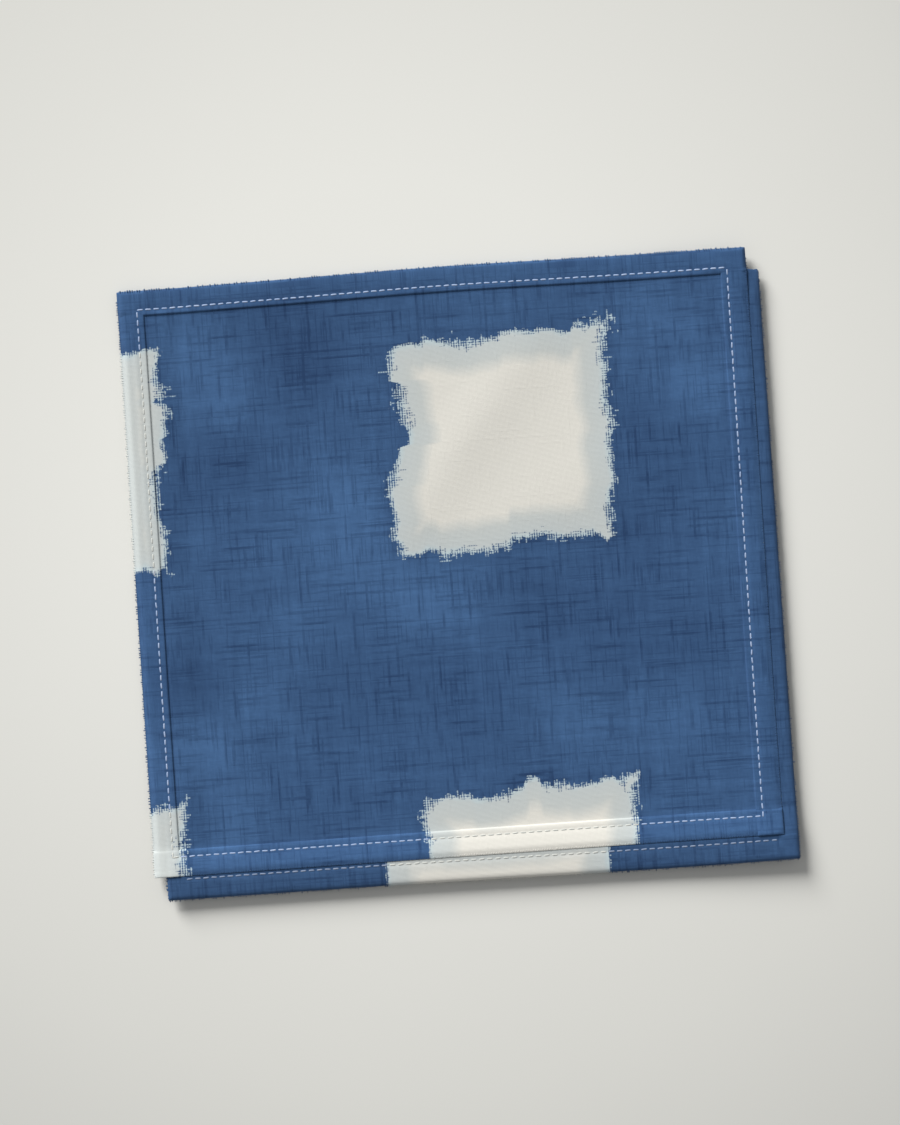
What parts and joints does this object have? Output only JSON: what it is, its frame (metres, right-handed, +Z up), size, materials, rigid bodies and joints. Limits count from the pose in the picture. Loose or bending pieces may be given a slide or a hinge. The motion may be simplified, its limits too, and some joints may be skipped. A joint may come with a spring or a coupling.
{
  "type": "folded shibori dyed cloth",
  "caption": "Hemmed plain-weave cotton cloth, indigo dyed round undyed squares and folded once, lying flat.",
  "frame": {"origin": "centre of the bounding box in X and Y, on the surface that the cloth lies on", "axes": "+X to the right across the cloth's width, +Y from the near edges towards the fold, +Z up"},
  "size_m": [0.238, 0.2276, 0.0055],
  "materials": {
    "indigo_cotton": "matt plain weave, indigo blue round undyed off-white squares"
  },
  "bodies": {
    "root": {"cloth": "indigo_cotton"}
  },
  "joints": []
}
